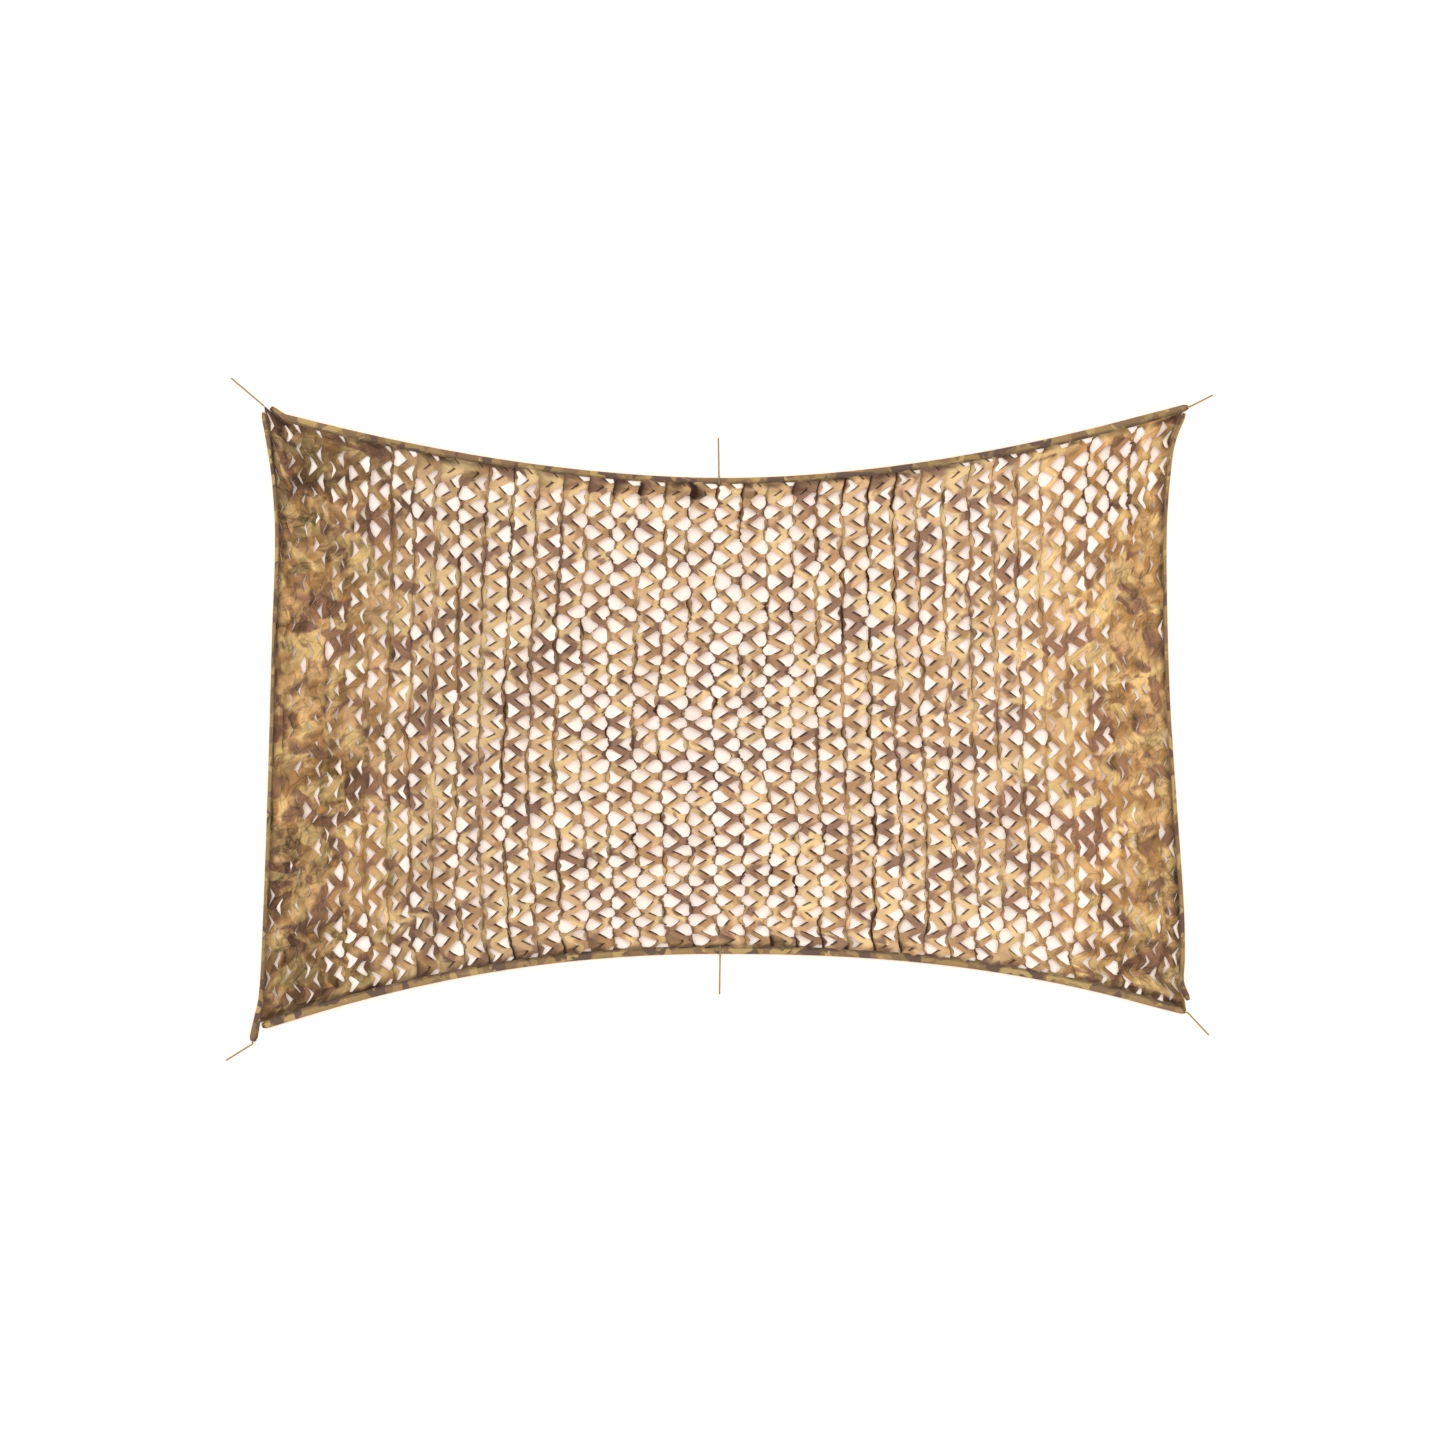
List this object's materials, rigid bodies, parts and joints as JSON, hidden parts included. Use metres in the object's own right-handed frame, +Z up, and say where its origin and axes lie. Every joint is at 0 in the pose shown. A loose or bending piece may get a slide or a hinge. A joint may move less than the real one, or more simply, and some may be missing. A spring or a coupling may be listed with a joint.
{
  "type": "camouflage netting",
  "caption": "Cut-leaf camouflage netting spread out flat, its middle pulled open, with a bound edge and cords at the corners and at the middle of each long edge.",
  "frame": {"origin": "on the ground under the middle of the cloth's box, cords left out", "axes": "+X along the long edges, +Y from the lower to the upper long edge, +Z up from the ground"},
  "size_m": [3.2002, 2.2146, 0.0199],
  "materials": {
    "net_cloth": "printed coated polyester cloth in tan, yellow-tan and brown, soft satin",
    "binding_cloth": "printed polyester tape in olive tan and brown, folded and sewn",
    "cord_braid": "pale beige braided cord, matt"
  },
  "bodies": {
    "root": {"net_panel": "net_cloth", "binding_top": "binding_cloth", "binding_bottom": "binding_cloth", "binding_left": "binding_cloth", "binding_right": "binding_cloth", "cord_top_left": "cord_braid", "cord_top_right": "cord_braid", "cord_bottom_left": "cord_braid", "cord_bottom_right": "cord_braid", "cord_top_middle": "cord_braid", "cord_bottom_middle": "cord_braid"}
  },
  "joints": []
}
